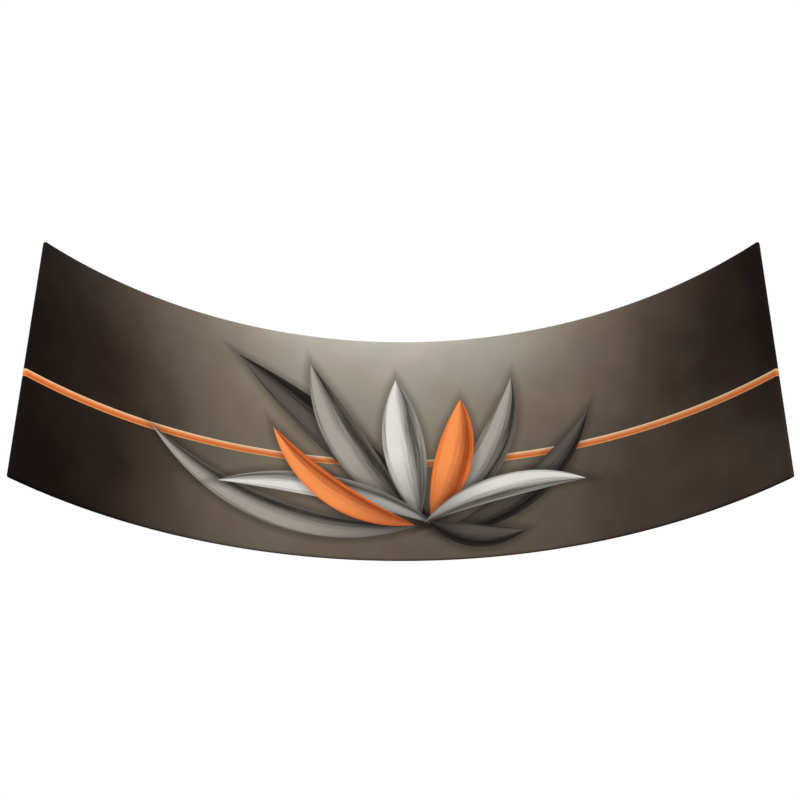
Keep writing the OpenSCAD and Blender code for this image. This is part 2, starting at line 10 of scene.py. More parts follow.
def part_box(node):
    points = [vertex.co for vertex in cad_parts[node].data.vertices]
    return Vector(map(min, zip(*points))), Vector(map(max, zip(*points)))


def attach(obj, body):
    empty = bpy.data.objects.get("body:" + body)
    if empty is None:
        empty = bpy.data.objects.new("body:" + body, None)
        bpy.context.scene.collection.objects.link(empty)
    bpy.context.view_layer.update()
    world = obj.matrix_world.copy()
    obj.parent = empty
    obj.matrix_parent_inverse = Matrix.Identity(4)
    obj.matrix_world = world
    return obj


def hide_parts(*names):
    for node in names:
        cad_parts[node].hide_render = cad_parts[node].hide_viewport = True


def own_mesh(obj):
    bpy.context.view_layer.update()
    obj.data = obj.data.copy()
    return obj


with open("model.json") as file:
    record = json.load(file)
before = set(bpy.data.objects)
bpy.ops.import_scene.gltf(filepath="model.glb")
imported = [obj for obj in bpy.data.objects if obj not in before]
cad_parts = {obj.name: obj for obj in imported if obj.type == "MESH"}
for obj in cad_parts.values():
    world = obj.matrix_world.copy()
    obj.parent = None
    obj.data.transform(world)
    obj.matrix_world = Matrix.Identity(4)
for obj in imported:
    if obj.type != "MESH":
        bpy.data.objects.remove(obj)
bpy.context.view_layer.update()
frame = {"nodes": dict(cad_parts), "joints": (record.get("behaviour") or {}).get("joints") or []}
nodes = frame["nodes"]
joints = {joint["name"]: joint for joint in frame["joints"]}
scene = bpy.context.scene
scene.view_settings.view_transform = "Standard"

# ---- Camera, floor and lamps ----
# The wall stands on a plain pale floor under even studio light, and is seen from below its
# lower edge. The floor is one-sided: from above it is solid, and from below it is clear.

camera = bpy.data.objects.new("camera", bpy.data.cameras.new("camera"))
scene.collection.objects.link(camera)
scene.camera = camera
camera.location = (0.0760, -10.2324, -5.2210)
turn, rise, roll = math.radians(0.0177), math.radians(90 + 28.339), math.radians(0.0175)
camera.rotation_euler = (Matrix.Rotation(turn, 3, "Z") @ Matrix.Rotation(rise, 3, "X")
                         @ Matrix.Rotation(roll, 3, "Z")).to_euler()
camera.data.lens, camera.data.sensor_width = 62.520, 36
camera.data.shift_x, camera.data.shift_y = -0.0123, 0.1125
camera.data.clip_end = 400


class Wire:
    """A socket of a node tree. Sums on it add Math nodes to that tree."""

    def __init__(self, tree, socket=None):
        self.tree, self.socket = tree, socket

    def node(self, kind, settings=None, sockets=None, out=0):
        """Adds a node: its settings first, then the values or links of its sockets."""
        made = self.tree.nodes.new("ShaderNode" + kind)
        for key, value in (settings or {}).items():
            if key == "stops":
                stops = made.color_ramp.elements
                while len(stops) < len(value):
                    stops.new(0.5)
                for stop, (position, colour) in zip(stops, value):
                    stop.position, stop.color = position, (*colour, 1)
            else:
                setattr(made, key, value)
        for key, value in (sockets or {}).items():
            socket = made.inputs[key]
            if isinstance(value, Wire):
                self.tree.links.new(value.socket, socket)
            elif isinstance(value, tuple) and len(socket.default_value) > len(value):
                socket.default_value = (*value, 1)
            else:
                socket.default_value = value
        return Wire(self.tree, made.outputs[out]) if len(made.outputs) else None

    def math(self, operation, *values):
        return self.node("Math", {"operation": operation}, dict(enumerate(values)))

    def __add__(self, other):
        return self.math("ADD", self, other)

    def __sub__(self, other):
        return self.math("SUBTRACT", self, other)

    def __rsub__(self, other):
        return self.math("SUBTRACT", other, self)

    def __mul__(self, other):
        return self.math("MULTIPLY", self, other)

    def __truediv__(self, other):
        return self.math("DIVIDE", self, other)

    def __pow__(self, other):
        return self.math("POWER", self, other)

    def __neg__(self):
        return self.math("MULTIPLY", self, -1.0)

    def __abs__(self):
        return self.math("ABSOLUTE", self)

    __radd__, __rmul__ = __add__, __mul__

    def step(self, start, end, low=0.0, high=1.0):
        """A soft step from low at start to high at end, whichever of the two is larger."""
        if start > end:
            start, end, low, high = end, start, high, low
        return self.node("MapRange", {"interpolation_type": "SMOOTHSTEP"},
                         {0: self, 1: start, 2: end, 3: low, 4: high})

    def mix(self, none, full):
        """The colour none where this is 0, and full where it is 1."""
        return self.node("Mix", {"data_type": "RGBA"}, {0: self, 6: none, 7: full}, out=2)

    def noise(self, scale, detail=2.0, roughness=0.5):
        """Cloudy noise over this vector, from 0 to 1."""
        return self.node("TexNoise", {}, {"Vector": self, "Scale": scale, "Detail": detail,
                                          "Roughness": roughness})

    def vector(self, operation, *values, out=0):
        return self.node("VectorMath", {"operation": operation}, dict(enumerate(values)), out)

    def split(self):
        """The three numbers of this vector."""
        made = self.node("SeparateXYZ", {}, {0: self}).socket.node
        return [Wire(self.tree, socket) for socket in made.outputs]

    def join(self, x, y, z):
        return self.node("CombineXYZ", {}, {0: x, 1: y, 2: z})


def seen_rays(wire):
    """1 for a ray that shows a surface as it is seen, straight or in a gloss or a glass."""
    rays = [wire.node("LightPath", out="Is %s Ray" % kind)
            for kind in ("Camera", "Glossy", "Transmission")]
    return wire.math("MAXIMUM", wire.math("MAXIMUM", rays[0], rays[1]), rays[2])


sky = bpy.data.worlds.new("studio")
sky.use_nodes = True
sky.node_tree.nodes.clear()
scene.world = sky
wire = Wire(sky.node_tree)
room_light = wire.node("Background", {}, {0: (1.0, 0.998, 0.993), 1: 0.74})
white = wire.node("Background", {}, {0: (1.0, 1.0, 1.0), 1: 1.0})
wire.node("OutputWorld", {}, {0: wire.node("MixShader", {}, {
    0: seen_rays(wire), 1: room_light, 2: white})})

floor_r, floor_drop = 60.0, 0.002
rim = [(floor_r * math.cos(a), floor_r * math.sin(a), -floor_drop)
       for a in np.linspace(0, 2 * math.pi, 96, endpoint=False)]
floor_mesh = bpy.data.meshes.new("floor")
floor_mesh.from_pydata(rim, [], [list(range(len(rim)))])
floor = bpy.data.objects.new("floor", floor_mesh)
scene.collection.objects.link(floor)
floor_paint = bpy.data.materials.new("floor")
floor_paint.use_nodes = True
floor_paint.node_tree.nodes.clear()
wire = Wire(floor_paint.node_tree)
matt_r, white_r = 4.5, 13.0
away = wire.vector("LENGTH", wire.node("TexCoord", out="Object"), out="Value")
matt = wire.node("BsdfDiffuse", {}, {0: (0.90, 0.90, 0.895)})
far_white = wire.node("Emission", {}, {0: (1.0, 1.0, 1.0), 1: 1.0})
top = wire.node("MixShader", {}, {0: seen_rays(wire) * away.step(matt_r, white_r),
                                  1: matt, 2: far_white})
wire.node("OutputMaterial", {}, {0: wire.node("MixShader", {}, {
    0: wire.node("NewGeometry", out="Backfacing"), 1: top, 2: wire.node("BsdfTransparent")})})
floor_mesh.materials.append(floor_paint)

for name, place, aim, size, power in (
        ("front_left_lamp", (-6.0, -9.5, 3.2), (0.0, 0.0, 0.9), 6.0, 330),
        ("front_right_lamp", (7.0, -8.0, 2.6), (0.0, 0.0, 0.9), 6.0, 250),
        ("rear_lamp", (4.0, 9.5, 6.5), (0.0, 0.4, 1.2), 6.0, 480),
        ("rear_left_lamp", (-8.0, 6.0, 4.0), (0.0, 0.4, 1.2), 5.0, 200)):
    lamp = bpy.data.objects.new(name, bpy.data.lights.new(name, "AREA"))
    lamp.data.shape, lamp.data.size, lamp.data.energy = "DISK", size, power
    lamp.location = place
    lamp.rotation_euler = (Vector(aim) - Vector(place)).to_track_quat("-Z", "Y").to_euler()
    scene.collection.objects.link(lamp)

# ---- Rails, end uprights and braces ----
# Drawn aluminium tube, satin anodised. The rails are rolled to the wall's arc, and each tube is
# cut to lengths that pack in a case. The cover hides them all.


def new_finish(name):
    """An empty material, and a wire to make its first nodes from."""
    made = bpy.data.materials.new(name)
    made.use_nodes = True
    made.node_tree.nodes.clear()
    return made, Wire(made.node_tree)


def surface(wire, base, roughness, bump, depth, **sockets):
    """Ends a finish in a Principled surface. The bump's depth is in metres."""
    values = {"Base Color": base, "Roughness": roughness}
    values.update({key.replace("_", " "): value for key, value in sockets.items()})
    values["Normal"] = wire.node("Bump", {}, {"Height": bump, "Distance": depth})
    wire.node("OutputMaterial", {}, {0: wire.node("BsdfPrincipled", {}, values)})


def finish_nodes(finish, names):
    """Gives CAD nodes a finish in place of the plain one they are packed with."""
    for name in names:
        for material_slot in nodes[name].material_slots:
            material_slot.material = finish


arc_y = joints["run_zip"]["pos_m"][1]
drawn_light, drawn_dark = (0.64, 0.65, 0.66), (0.56, 0.57, 0.585)


def drawn_tube(name, along_rail):
    """Anodised tube, with drawing lines along a rail or up an upright."""
    finish, wire = new_finish(name)
    place = wire.node("TexCoord", out="Object")
    x, y, z = place.split()
    if along_rail:
        across = wire.join(wire.math("SQRT", x * x + (y - arc_y) * (y - arc_y)), 0.0, z)
    else:
        across = wire.join(x, y, 0.0)
    lines = across.noise(2600.0, 3.0)
    scuffs = place.noise(38.0, 6.0, 0.7).step(0.56, 0.66)
    surface(wire, place.noise(9.0, 4.0).mix(drawn_dark, drawn_light),
            lines.step(0.2, 0.8, 0.30, 0.42) + 0.14 * scuffs, lines, 0.00002, Metallic=1.0)
    return finish


rails = [name for name in nodes if "_rail_" in name and name[-1].isdigit()]
finish_nodes(drawn_tube("anodised_rail", True), rails)
finish_nodes(drawn_tube("anodised_upright", False),
             [name for name in nodes if "_upright_" in name and "button" not in name
              or "_brace_" in name])

# ---- Corner elbows ----
# Die-cast aluminium, tumbled until the skin is dull and even. The spigots that are part of each
# elbow slide into a rail and an upright.

tumbled, wire = new_finish("tumbled_casting")
place = wire.node("TexCoord", out="Object")
grain = place.noise(900.0, 4.0, 0.6)
flow = place.noise(30.0, 5.0, 0.6)
surface(wire, flow.mix((0.42, 0.43, 0.44), (0.56, 0.57, 0.575)), grain.step(0.3, 0.7, 0.42, 0.6),
        grain, 0.00006, Metallic=1.0)
finish_nodes(tumbled, [name for name in nodes if name.endswith("_elbow")])

# ---- Spigots and stubs ----
# Mill-finish aluminium sleeves that join the lengths of tube. They are sawn from extruded
# stock, and rubbed bright where the tubes slide over them.

mill, wire = new_finish("mill_finish")
place = wire.node("TexCoord", out="Object")
streaks = place.vector("MULTIPLY", place, (1.0, 1.0, 0.06)).noise(700.0, 3.0)
rubbed = place.noise(22.0, 4.0).step(0.42, 0.62)
surface(wire, rubbed.mix((0.50, 0.51, 0.53), (0.68, 0.69, 0.70)),
        streaks.step(0.25, 0.75, 0.26, 0.40) + 0.10 * rubbed, streaks, 0.00003, Metallic=1.0)
finish_nodes(mill, ["brace_stubs", "bottom_rail_spigots", "top_rail_spigots", "upright_spigots",
                    "brace_spigots"])

# ---- Blind rivets ----
# Aluminium blind rivets, two to a joint. The head is pressed bright and keeps a few tool marks.

rivet_alloy, wire = new_finish("rivet_alloy")
place = wire.node("TexCoord", out="Object")
marks = place.noise(1400.0, 3.0, 0.6)
surface(wire, place.noise(60.0, 2.0).mix((0.60, 0.60, 0.61), (0.72, 0.72, 0.72)),
        marks.step(0.3, 0.8, 0.18, 0.36), marks, 0.00002, Metallic=1.0)
finish_nodes(rivet_alloy, ["blind_rivets"])

# ---- Snap springs and buttons ----
# A blued spring leaf in each spigot pushes a nickel-plated button out through the tube. Thumbs
# and tube ends have rubbed the buttons. A real leaf folds flatter while its button is pressed;
# here each leaf is a piece of its own, fixed to the frame.


def add_piece(name, points, faces, finish, body="frame"):
    mesh = bpy.data.meshes.new(name)
    mesh.from_pydata([tuple(point) for point in points], [], faces)
    mesh.materials.append(finish)
    mesh.shade_smooth()
    piece = bpy.data.objects.new(name, mesh)
    scene.collection.objects.link(piece)
    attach(piece, body)
    return piece


blued, wire = new_finish("blued_spring")
place = wire.node("TexCoord", out="Object")
heat = place.noise(85.0, 3.0).step(0.3, 0.7)
brushed = place.vector("MULTIPLY", place, (1.0, 0.1, 1.0)).noise(3000.0, 2.0)
surface(wire, heat.mix((0.055, 0.065, 0.105), (0.15, 0.13, 0.12)),
        brushed.step(0.2, 0.8, 0.25, 0.42), brushed, 0.00001, Metallic=1.0)

# A leaf is what lies within leaf_reach of its button, out of the node that all twelve share,
# and a hair is the distance in metres under which two places are one
leaf_reach, hair = 0.1, 1e-6
for name in [name for name in joints if name.startswith("press_")]:
    button = sum((Vector(corner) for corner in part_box(joints[name]["child"])), Vector()) / 2
    shape = bmesh.new()
    shape.from_mesh(nodes["snap_springs"].data)
    bmesh.ops.delete(shape, geom=[v for v in shape.verts if (v.co - button).length > leaf_reach],
                     context="VERTS")
    bmesh.ops.remove_doubles(shape, verts=shape.verts, dist=hair)
    leaf = add_piece(name.replace("press", "snap_spring"), [v.co for v in shape.verts],
                     [[v.index for v in face.verts] for face in shape.faces], blued)
    shape.free()
    leaf.data.set_sharp_from_angle(angle=math.radians(30))
    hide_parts("snap_springs")
    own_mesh(leaf)

nickel, wire = new_finish("nickel_plate")
place = wire.node("TexCoord", out="Object")
scratches = place.noise(2400.0, 5.0, 0.75)
surface(wire, place.noise(150.0, 3.0).mix((0.62, 0.60, 0.57), (0.74, 0.72, 0.69)),
        scratches.step(0.45, 0.75, 0.12, 0.38), scratches, 0.00001, Metallic=1.0)
finish_nodes(nickel, [name for name in nodes if name.startswith("snap_button_")])

# ---- Lifting points ----
# Black powder-coated steel brackets and fold-flat lugs on the rear of the top rail. Zinc-plated
# screws go through nickel eyelets in the cover, into threaded inserts, and a pin holds each lug.


def edges(wire, radius):
    """1 near the edges of a piece, and 0 on its flats."""
    facing = wire.vector("DOT_PRODUCT", wire.node("Bevel", {"samples": 4}, {"Radius": radius}),
                         wire.node("NewGeometry", out="True Normal"), out="Value")
    return facing.step(0.985, 0.90)


coat, wire = new_finish("powder_coat")
place = wire.node("TexCoord", out="Object")
peel = place.noise(1300.0, 2.0, 0.4)
worn = edges(wire, 0.0009) * place.noise(420.0, 4.0, 0.7).step(0.44, 0.56)
surface(wire, worn.mix(place.noise(70.0, 3.0).mix((0.016, 0.016, 0.017), (0.026, 0.026, 0.027)),
                       (0.30, 0.29, 0.28)),
        worn.step(0.0, 1.0, 0.44, 0.34) + 0.06 * peel, peel, 0.00012, Metallic=worn)
finish_nodes(coat, ["lift_brackets"] + [name for name in nodes if name.startswith("lift_lug_")])

zinc, wire = new_finish("zinc_plate")
place = wire.node("TexCoord", out="Object")
spangle = place.noise(260.0, 4.0, 0.6)
surface(wire, spangle.mix((0.44, 0.47, 0.52), (0.66, 0.65, 0.60)),
        place.noise(1800.0, 3.0).step(0.3, 0.7, 0.24, 0.44), spangle, 0.00002, Metallic=1.0)
finish_nodes(zinc, ["threaded_inserts", "lift_pins", "lift_screws"])

eyelet_plate, wire = new_finish("eyelet_plate")
place = wire.node("TexCoord", out="Object")
rolled = place.noise(1500.0, 4.0, 0.7)
surface(wire, place.noise(120.0, 2.0).mix((0.58, 0.56, 0.52), (0.72, 0.70, 0.66)),
        rolled.step(0.4, 0.7, 0.16, 0.34), rolled, 0.00001, Metallic=1.0)
finish_nodes(eyelet_plate, ["cover_eyelets"])

# ---- Front panel ----
# One piece of stretch polyester knit, dye printed. It covers the hollow face, turns over the
# rails and round the end uprights, and is sewn down on the rear along a 40 mm return.

# The tubes' middle line: the arc's radius, and its length from the middle to an end upright.
# The cover's outer side is cover_r from it, and its rear has a window for the back panel.
arc_r, half_l, wall_h = 3.830, 3.525, 2.300
cover_r, return_w = 0.0203, 0.040
half_turn = half_l / arc_r
window_turn = half_turn - return_w / arc_r
low_z, high_z = cover_r, wall_h - cover_r
window_low, window_high = 0.050, high_z - return_w
face_r = arc_r - cover_r
cloth_t = 0.0009
cloth_step = 0.025
face_pull, corner_crease, edge_fade = 0.006, 0.0010, 0.15


def arc_point(angle, out, z):
    """A point at an angle along the wall's arc, out to the rear of the tube's middle."""
    return (math.sin(angle) * (arc_r + out), arc_y + math.cos(angle) * (arc_r + out), z)


def spaced(start, end, step, keep=()):
    """Numbers from start to end about a step apart, with some that have to be among them."""
    stops = sorted({start, end, *keep})
    found = [start]
    for low, high in zip(stops, stops[1:]):
        found += list(np.linspace(low, high, max(1, round((high - low) / step)) + 1)[1:])
    return found


def pull_of_face(angle, z):
    """How far the stretched face stands off its arc towards the hollow, in metres."""
    up = (z - low_z) / (high_z - low_z)
    along = abs(angle) / half_turn
    bow = face_pull * (4 * up * (1 - up)) ** 0.8 * (1 - along ** 6)
    from_end, from_edge = (half_turn - abs(angle)) * face_r, min(z - low_z, high_z - z)
    reach = math.hypot(from_end, from_edge)
    fan = math.atan2(from_edge, from_end)
    fade = min(1.0, from_end / edge_fade) * min(1.0, from_edge / edge_fade)
    return bow + (corner_crease * fade * math.sin(16 * fan)
                  * math.exp(-((reach - 0.4) / 0.35) ** 2))


# The belt of columns round the wall: the arc's angle and the direction, from the front (0) to
# the rear (half a turn), in which the column's section stands out of the tube's middle
hem_w, hem_slope, hem_rise, hem_low = 0.012, 0.001, 0.0007, 0.09
hem_lines = (0.0, hem_w, hem_w + hem_slope)
hem_turns = [side * (window_turn + wide / arc_r) for side in (-1, 1) for wide in hem_lines]
turns = spaced(-half_turn, half_turn, cloth_step / arc_r, (0.0, *hem_turns))
round_end = list(np.linspace(0, math.pi, 17))[1:-1]
belt = ([(angle, 0.0, 0) for angle in turns] + [(half_turn, way, 1) for way in round_end]
        + [(angle, math.pi, 0) for angle in reversed(turns)]
        + [(-half_turn, way, -1) for way in reversed(round_end)])
round_edge = [math.radians(a) for a in range(-90, 0, 9)]
rows = ([(cover_r * math.cos(a), low_z + cover_r * math.sin(a), low_z + cover_r * a)
         for a in round_edge]
        + [(cover_r, z, z) for z in spaced(low_z, high_z, cloth_step,
                                           (window_low, *(window_high + wide
                                                          for wide in hem_lines)))]
        + [(cover_r * math.cos(a), high_z + cover_r * math.sin(a), high_z + cover_r * a)
           for a in (-a for a in reversed(round_edge))])

points, cut = [], []
for angle, way, side in belt:
    rear = way == math.pi
    if way == 0:
        u = face_r * angle
    elif rear:
        u = (face_r * half_turn + cover_r * math.pi
             + (half_turn - abs(angle)) * (arc_r + cover_r)) * (1 if angle > 0 else -1)
    else:
        u = (face_r * half_turn + cover_r * way) * side
    for out, z, v in rows:
        lean = pull_of_face(angle, z) if way == 0 and out == cover_r else 0.0
        if rear and z > hem_low and (abs(angle) - window_turn < (hem_w + hair) / arc_r
                                     and z - window_high < hem_w + hair):
            lean = hem_rise
        forward = -math.cos(way) * (out + lean)
        x, y, z = arc_point(angle, forward, z)
        beside = math.sin(way) * out * side
        points.append((x + beside * math.cos(angle), y - beside * math.sin(angle), z))
        cut.append((u, v))


# Where a column is on the rear between the returns, the print comes over the rails instead
over_high, over_low = high_z + cover_r * math.pi / 2, low_z - cover_r * math.pi / 2
count, faces, face_cuts = len(rows), [], []
for k in range(len(belt)):
    nxt = (k + 1) % len(belt)
    angles, ways = (belt[k][0], belt[nxt][0]), (belt[k][1], belt[nxt][1])
    behind = ways == (math.pi, math.pi) and max(map(abs, angles)) < window_turn + hair
    for j in range(count - 1):
        middle = (rows[j][1] + rows[j + 1][1]) / 2
        if behind and window_low < middle < window_high:
            continue
        corner = [k * count + j, nxt * count + j, nxt * count + j + 1, k * count + j + 1]
        faces.append(corner)
        if behind:
            pairs = [(belt[i // count][0] * face_r, cut[i][1]) for i in corner]
            over = over_high if middle > window_high else over_low
            pairs = [(u, 2 * over - v) for u, v in pairs]
        else:
            pairs = [cut[i] for i in corner]
        face_cuts += pairs


def sheet_piece(name, points, faces, cuts, finish):
    """A sheet of cloth. Its map holds the place on the cloth before it is sewn, in metres."""
    piece = add_piece(name, points, faces, finish)
    cloth_map = piece.data.uv_layers.new(name="cloth")
    for loop, pair in zip(cloth_map.data, cuts):
        loop.uv = pair
    shape = bmesh.new()
    shape.from_mesh(piece.data)
    bmesh.ops.remove_doubles(shape, verts=shape.verts, dist=hair)
    bmesh.ops.recalc_face_normals(shape, faces=shape.faces)
    shape.to_mesh(piece.data)
    shape.free()
    piece.data.shade_smooth()
    return piece


def thicken(piece, thickness):
    """Gives a sheet its thickness, inwards from its outer side."""
    solid = piece.modifiers.new("thickness", "SOLIDIFY")
    solid.thickness, solid.offset = thickness, -1.0
    return piece


def knit(wire, cloth):
    """The height of a fine knit, from 0 to 1: upright wales of small v-shaped stitches."""
    u, v, _ = cloth.split()
    wale, course = 0.0009, 0.0007
    zigzag = abs(wire.math("FRACT", u / wale) - 0.5)
    lines = wire.math("SINE", (v / course + zigzag) * (2 * math.pi))
    return (lines * 0.5 + 0.5) * (0.55 + 0.9 * zigzag)


def srgb(*levels):
    """A colour of the print, from levels of 0 to 255."""
    return tuple(((v / 255 + 0.055) / 1.055) ** 2.4 if v > 10 else v / 255 / 12.92
                 for v in levels)


def bell(value, middle, width, power=2.0):
    """1 at the middle, and falling off to each side over a width."""
    return value.math("EXPONENT", -(abs((value - middle) / width) ** power))


print_finish, wire = new_finish("printed_knit")
cloth = wire.node("UVMap")
u, v, _ = cloth.split()
height = wire.math("MAXIMUM", v / wall_h, 0.0)

# A glow behind the middle of the face, on a dark ground with soft clouds. Each bell is one soft
# light: its strength in levels, then its middle and width, across in metres and up in heights.
glow = (97.5 * bell(u, 0.122, 2.65, 2.4) - 5.4
        + 90.4 * bell(u, -0.242, 2.515) * height ** 1.764
        + 39.3 * bell(u, 3.5, 1.3) * bell(height, 0.0, 0.48)
        + 25.2 * bell(u, -1.507, 0.755) * bell(height, 0.0, 0.592)
        - 10.9 * bell(u, -2.61, 0.534) * bell(height, 0.639, 0.172) - 1.520 * u)
clouds = (cloth.noise(1.1, 4.0, 0.5) - 0.5) * 26.0 + (cloth.noise(3.6, 3.0, 0.5) - 0.5) * 14.0
tones = [srgb(*levels) for levels in ((18, 9, 5), (41, 31, 25), (76, 65, 57), (120, 109, 95),
                                      (154, 149, 136), (186, 180, 170))]
grounds = (0.06, 0.140, 0.263, 0.434, 0.584, 0.708)
ground = wire.node("ValToRGB", {"stops": list(zip(grounds, tones))},
                   {0: (glow + clouds) / 255.0})
dust = wire.join(u + 7.0, v, 3.0).noise(1.7, 3.0, 0.5).step(0.38, 0.62)
ground = wire.vector("MULTIPLY", ground, dust.mix((1.022, 0.996, 0.972), (0.978, 1.006, 1.0)))

# A straight bar across the whole width, lit from above
bar_low, bar_high, bar_gain = 0.928, 0.998, 1.22
across = (v - bar_low) / (bar_high - bar_low)
bar = wire.node("ValToRGB", {"stops": [
    (0.0, srgb(208, 164, 112)), (0.12, srgb(204, 132, 80)), (0.26, srgb(203, 100, 46)),
    (0.46, srgb(208, 112, 60)), (0.66, srgb(217, 140, 94)), (0.84, srgb(222, 174, 132)),
    (0.96, srgb(232, 210, 174))]}, {0: across})
on_bar = across.step(-0.02, 0.02) * across.step(1.03, 0.97)
lit = wire.node("ValToRGB", {"stops": [
    (0.0, (1.0, 0.84, 0.66)), (0.36, (0.84, 0.83, 0.82)), (0.71, (0.82, 0.82, 0.82)),
    (1.0, (0.68, 0.66, 0.58))]}, {0: u / (2 * half_l) + 0.5})
bar = wire.vector("MULTIPLY", wire.vector("MULTIPLY", bar, (bar_gain,) * 3), lit)
shown = on_bar.mix(ground, bar)


def blade(shown, base, tip, left, right, tone):
    """Lays a curved blade over what is shown: its two edges are arcs from base to tip."""
    along = Vector(tip) - Vector(base)
    side = Vector((-along.y, along.x)).normalized()
    gaps = []
    for bulge, way in ((left, 1), (right, -1)):
        radius = (along.length ** 2 / 4 + bulge ** 2) / (2 * bulge)
        middle = (Vector(base) + Vector(tip)) / 2 - side * (radius - bulge)
        reach = cloth.vector("DISTANCE", cloth, (*middle, 0.0), out="Value")
        gaps.append((reach - abs(radius)) * (way * math.copysign(1, bulge)))
    inside = wire.math("MAXIMUM", gaps[0], gaps[1])
    turned = gaps[0] / (gaps[0] + gaps[1])
    light, middle, dark = tone
    way = along / along.length_squared
    far = wire.vector("DOT_PRODUCT", cloth, (*way, 0.0), out="Value") - way.dot(Vector(base))
    streaks = wire.join(turned * 9.0, far * 1.6, base[0] + 3 * tip[0]).noise(1.6, 4.0, 0.6)
    body = wire.node("ValToRGB", {"stops": [(0.0, middle), (0.14, light), (0.40, light),
                                            (0.80, dark), (1.0, middle)]},
                     {0: turned + (streaks - 0.5) * 0.5})
    body = (far.step(0.5, 0.0) * 0.7).mix(body, dark)
    # Its soft shadow, and then the blade itself
    shown = (inside.step(0.09, 0.0) * 0.42).mix(shown, srgb(30, 24, 20))
    return inside.step(0.003, -0.003).mix(shown, body)


pale = (srgb(226, 224, 219), srgb(150, 146, 140), srgb(70, 65, 61))
mid = (srgb(166, 161, 152), srgb(104, 98, 91), srgb(44, 39, 36))
deep = (srgb(88, 82, 77), srgb(48, 43, 40), srgb(20, 17, 16))
warm = (srgb(250, 150, 84), srgb(236, 118, 50), srgb(150, 66, 28))
for base, tip, left, right, tone in (
        ((0.30, 0.30), (-1.55, 1.95), 0.10, -0.26, deep),
        ((0.20, 0.35), (-2.30, 0.98), 0.42, 0.16, mid),
        ((0.34, 0.26), (1.72, 1.30), -0.06, -0.34, deep),
        ((0.10, 0.42), (-0.86, 1.98), 0.30, -0.06, mid),
        ((0.22, 0.34), (1.02, 1.80), -0.02, -0.34, mid),
        ((0.16, 0.40), (-0.06, 1.86), 0.22, -0.16, pale),
        ((0.26, 0.36), (0.54, 1.62), 0.10, -0.24, warm),
        ((0.30, 0.34), (-1.66, 0.60), -0.10, -0.34, pale),
        ((0.12, 0.34), (-1.18, 1.24), 0.30, 0.04, warm),
        ((0.20, 0.36), (1.66, 0.62), 0.30, 0.06, pale),
        ((0.24, 0.38), (1.10, 0.22), 0.02, -0.20, deep)):
    shown = blade(shown, base, tip, left, right, tone)

stitches = knit(wire, cloth)
# The print is darkened towards black where the knit is low: painted shade in the hollows between
# the stitches
surface(wire, (stitches.step(0.25, 0.0) * 0.12).mix(shown, (0.01, 0.009, 0.008)),
        0.80 + 0.06 * stitches, stitches, 0.00008, Specular_IOR_Level=0.08)

front = thicken(sheet_piece("front_panel_cloth", points, faces, face_cuts, print_finish),
                cloth_t)
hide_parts("front_panel")

# ---- Back panel ----
# Plain dark stretch polyester, sewn into the rear of the printed panel with a twin row of
# stitches. It is drawn in a little between the braces.

panel_low = 0.074
brace_turn = 1.175 / arc_r
brace_pull, bay_pull, fold_deep, gather_deep = 0.0026, 0.0045, 0.0017, 0.0012
across_step, up_step = 0.015, 0.021


def pull_of_back(angle, z):
    """How far the stretched back panel is drawn in towards the frame, in metres."""
    up = (z - panel_low) / (window_high - panel_low)
    bay = ((abs(angle) - brace_turn) / (window_turn - brace_turn) if abs(angle) > brace_turn
           else (angle + brace_turn) / (2 * brace_turn))
    at_braces = brace_pull if abs(angle) < brace_turn else brace_pull * (1 - bay)
    from_end = (window_turn - abs(angle)) * arc_r
    fade = min(1.0, min(z - panel_low, window_high - z, from_end) / 0.25)
    fade = fade * fade * (3 - 2 * fade)
    free = min(1.0, abs(abs(angle) - brace_turn) * arc_r / 0.08, from_end / 0.12)
    folds = 0.0
    for gap in (window_high - z, z - panel_low):
        reach, fan = math.hypot(from_end, gap), math.atan2(gap, from_end)
        folds += (math.sin(17 * fan + 2.2 * math.copysign(1, angle)) * min(1.0, gap / 0.12)
                  * math.exp(-((reach - 0.34) / 0.30) ** 2))
    from_zip, wide = min(1.0, (z - panel_low) / 0.34), angle * arc_r
    gathers = math.sin(wide * 71 + 1.7 * math.sin(wide * 9.1) + 2.6 * from_zip)
    gathers *= (0.6 + 0.4 * math.sin(wide * 3.7)) * math.sin(math.pi * from_zip ** 0.6) ** 2
    bays = math.sin(math.pi * bay) ** 2 * (4 * up * (1 - up)) ** 0.5
    return (fade * (at_braces + bay_pull * bays)
            + free * (fold_deep * folds + gather_deep * gathers))


columns = spaced(-window_turn, window_turn, across_step / arc_r, (-brace_turn, brace_turn))
heights = spaced(panel_low, window_high, up_step)
points = [arc_point(angle, cover_r - pull_of_back(angle, z), z)
          for angle in columns for z in heights]


def grid_faces(wide, tall):
    """The faces of a grid of points that is written column by column."""
    return [[k * tall + j, (k + 1) * tall + j, (k + 1) * tall + j + 1, k * tall + j + 1]
            for k in range(wide - 1) for j in range(tall - 1)]


back_knit, wire = new_finish("plain_knit")
cloth = wire.node("UVMap")
stitches = knit(wire, cloth)
drift = cloth.noise(1.6, 4.0, 0.6)
shade = drift.mix((0.034, 0.033, 0.032), (0.046, 0.045, 0.043))
# The cloth is darkened towards black where the knit is low: painted shade in the hollows between
# the stitches
surface(wire, (stitches.step(0.3, 0.0) * 0.4).mix(shade, (0.012, 0.012, 0.011)),
        0.82 + 0.06 * stitches, stitches, 0.00010, Specular_IOR_Level=0.3,
        Sheen_Weight=0.12, Sheen_Roughness=0.5)

faces = grid_faces(len(columns), len(heights))
cuts = [(columns[i // len(heights)] * (arc_r + cover_r), heights[i % len(heights)])
        for face in faces for i in face]
back = thicken(sheet_piece("back_panel_cloth", points, faces, cuts, back_knit), cloth_t)
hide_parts("back_panel")

# ---- Zip ----
# A long nylon zip along the lower rear edge. Its two woven tapes are sewn onto the cover, each
# tape carries a row of teeth, and a gunmetal slider with a pull tab closes them.

